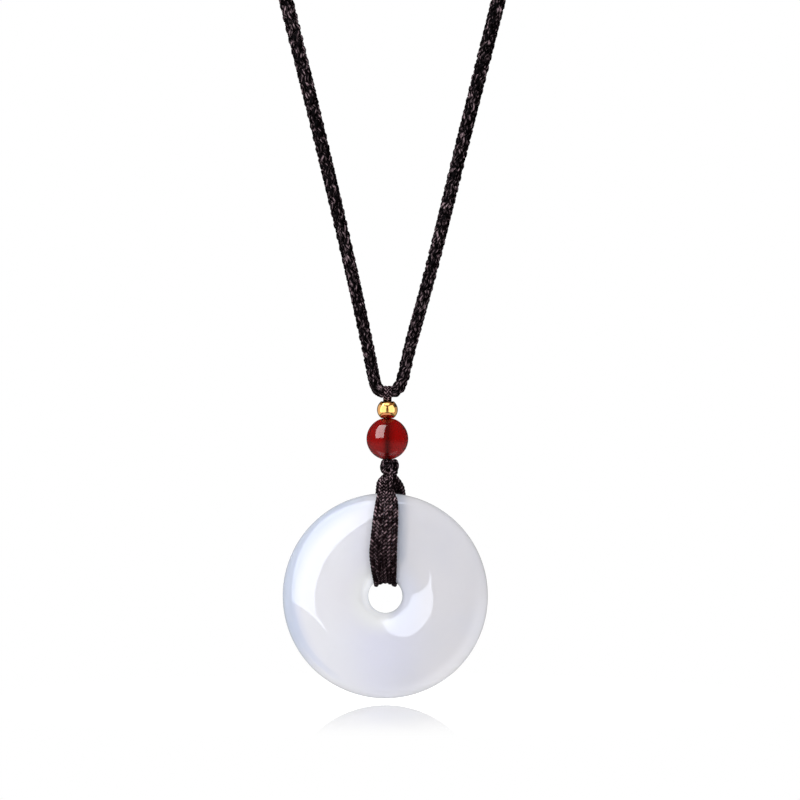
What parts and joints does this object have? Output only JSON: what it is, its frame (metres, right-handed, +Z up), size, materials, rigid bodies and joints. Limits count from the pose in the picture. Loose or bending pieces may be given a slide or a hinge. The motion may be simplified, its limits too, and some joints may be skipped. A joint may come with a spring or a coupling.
{
  "type": "chalcedony necklace",
  "caption": "Braided cord neck loop with a swinging pendant: gold bead, round red bead, ball knot and a cord strap through the hole of a domed, polished chalcedony disc.",
  "frame": {"origin": "the middle of the cord's wrapped join at the nape, where the necklace hangs", "axes": "+Z up, -Y towards the front where the pendant hangs, +X to the wearer's left, which is the viewer's right"},
  "size_m": [0.1078, 0.1225, 0.2953],
  "materials": {
    "neck_cord": "braided nylon cord, near-black brown with a silky sheen",
    "pendant_cord": "thin braided nylon cord, dark brown with pinkish glints",
    "gold": "polished yellow gold",
    "carnelian": "polished, translucent deep red",
    "chalcedony": "polished, milky translucent white with a lavender tint"
  },
  "bodies": {
    "neck": {"neck_cord": "neck_cord", "cord_join": "neck_cord"},
    "pendant": {"hanger_loop": "pendant_cord", "gold_bead": "gold", "red_bead": "carnelian", "button_knot": "pendant_cord", "knot_wrap": "pendant_cord", "strap": "pendant_cord", "disc": "chalcedony"}
  },
  "joints": [
    {"name": "pendant_swing", "type": "hinge", "parent": "neck", "child": "pendant", "pos_m": [0, -0.115, -0.235], "axis": [1, 0, 0], "range_deg": [-75, 75]}
  ]
}
